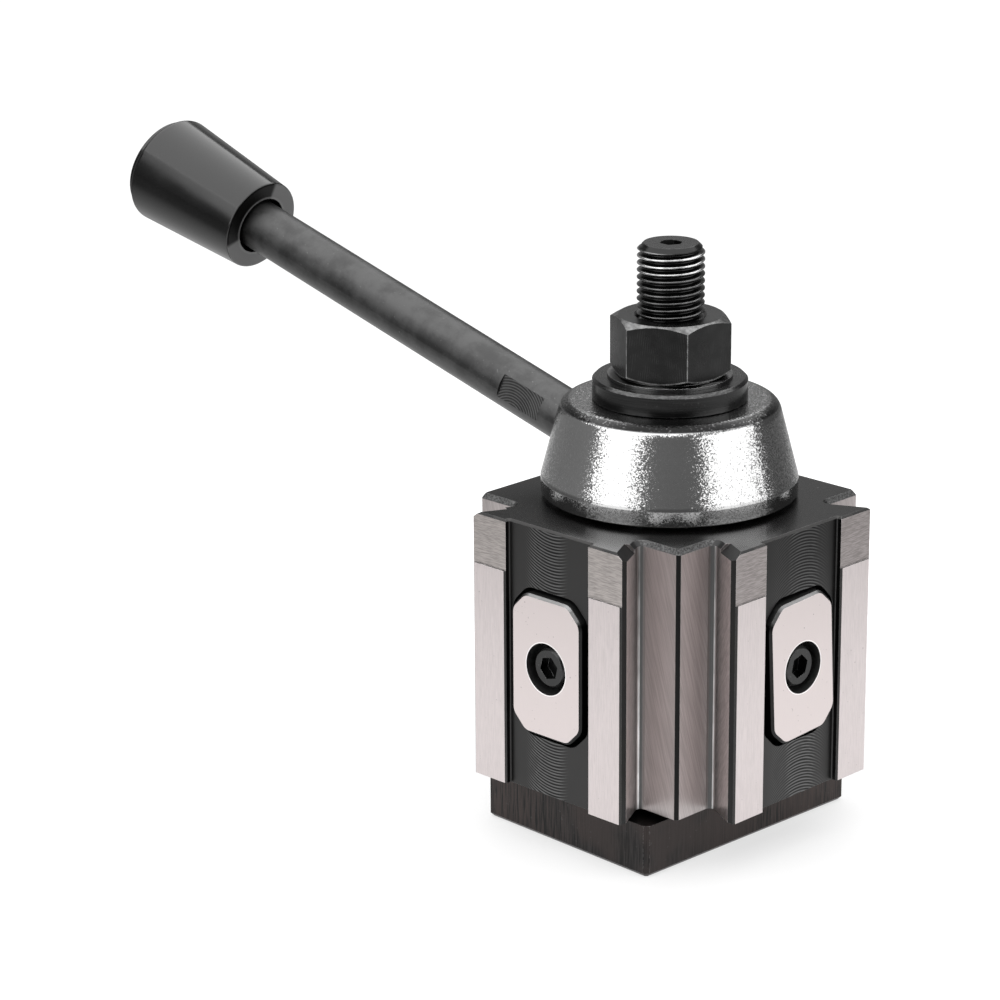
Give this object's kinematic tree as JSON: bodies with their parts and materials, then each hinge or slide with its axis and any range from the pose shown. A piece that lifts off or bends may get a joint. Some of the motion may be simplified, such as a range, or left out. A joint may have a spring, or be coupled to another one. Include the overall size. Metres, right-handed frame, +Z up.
{
  "type": "lathe tool post",
  "caption": "Quick-change lathe tool post with dovetail faces on adjacent sides, piston locking plates, cam lever, clamping stud, nut and T-nut blank.",
  "frame": {"origin": "centre of the T-nut's underside, on the stud axis", "axes": "+Z up along the stud, -Y out of the front dovetail face, +X out of the side dovetail face"},
  "size_m": [0.1899, 0.0679, 0.1294],
  "materials": {
    "t_nut_steel": "rolled black steel",
    "black_steel": "black oxide, satin",
    "body_steel": "black oxide with ground faces",
    "ground_steel": "fine ground",
    "satin_chrome": "blasted satin chrome",
    "inner_steel": "turned",
    "spring_steel": "spring wire",
    "knob_plastic": "gloss black",
    "insert_brass": "turned"
  },
  "bodies": {
    "base": {"t_nut_blank": "t_nut_steel", "centre_stud": "black_steel"},
    "post": {"post_body": "body_steel", "centre_sleeve": "inner_steel", "cam_thrust_washer": "inner_steel", "cam_retaining_ring": "spring_steel", "cam_stop_pin": "inner_steel", "guide_ring_front": "inner_steel", "guide_ring_side": "inner_steel", "return_spring_front": "spring_steel", "return_spring_side": "spring_steel"},
    "cam": {"cam_shaft": "inner_steel", "handle_hub": "satin_chrome", "hub_screws": "black_steel", "hub_dowels": "inner_steel", "lever_rod": "black_steel", "lever_knob": "knob_plastic", "knob_insert": "insert_brass"},
    "front_piston": {"piston_front": "inner_steel", "locking_plate_front": "ground_steel", "plate_screw_front": "black_steel"},
    "side_piston": {"piston_side": "inner_steel", "locking_plate_side": "ground_steel", "plate_screw_side": "black_steel"},
    "washer": {"clamp_washer": "black_steel"},
    "nut": {"clamp_nut": "black_steel"}
  },
  "joints": [
    {"name": "post_swivel", "type": "hinge", "parent": "base", "child": "post", "pos_m": [0, 0, 0.013], "axis": [0, 0, 1], "continuous": true},
    {"name": "cam_turn", "type": "hinge", "parent": "post", "child": "cam", "pos_m": [0, 0, 0.0712], "axis": [0, 0, 1], "range_deg": [-60, 0]},
    {"name": "front_piston_slide", "type": "slide", "parent": "post", "child": "front_piston", "axis": [0, -1, 0], "range_m": [0, 0.0015], "deforming": ["return_spring_front"]},
    {"name": "side_piston_slide", "type": "slide", "parent": "post", "child": "side_piston", "axis": [1, 0, 0], "range_m": [0, 0.0015], "deforming": ["return_spring_side"]},
    {"name": "nut_turn", "type": "hinge", "parent": "base", "child": "washer", "pos_m": [0, 0, 0.0912], "axis": [0, 0, 1], "range_deg": [0, 3600]},
    {"name": "nut_climb", "type": "slide", "parent": "washer", "child": "nut", "axis": [0, 0, 1], "range_m": [0, 0.015]}
  ],
  "couplings": [
    {"joint": "front_piston_slide", "follows": "cam_turn", "m_per_rad": -0.0014323},
    {"joint": "side_piston_slide", "follows": "cam_turn", "m_per_rad": -0.0014323},
    {"joint": "nut_turn", "follows": "nut_climb", "rad_per_m": 4188.4}
  ]
}
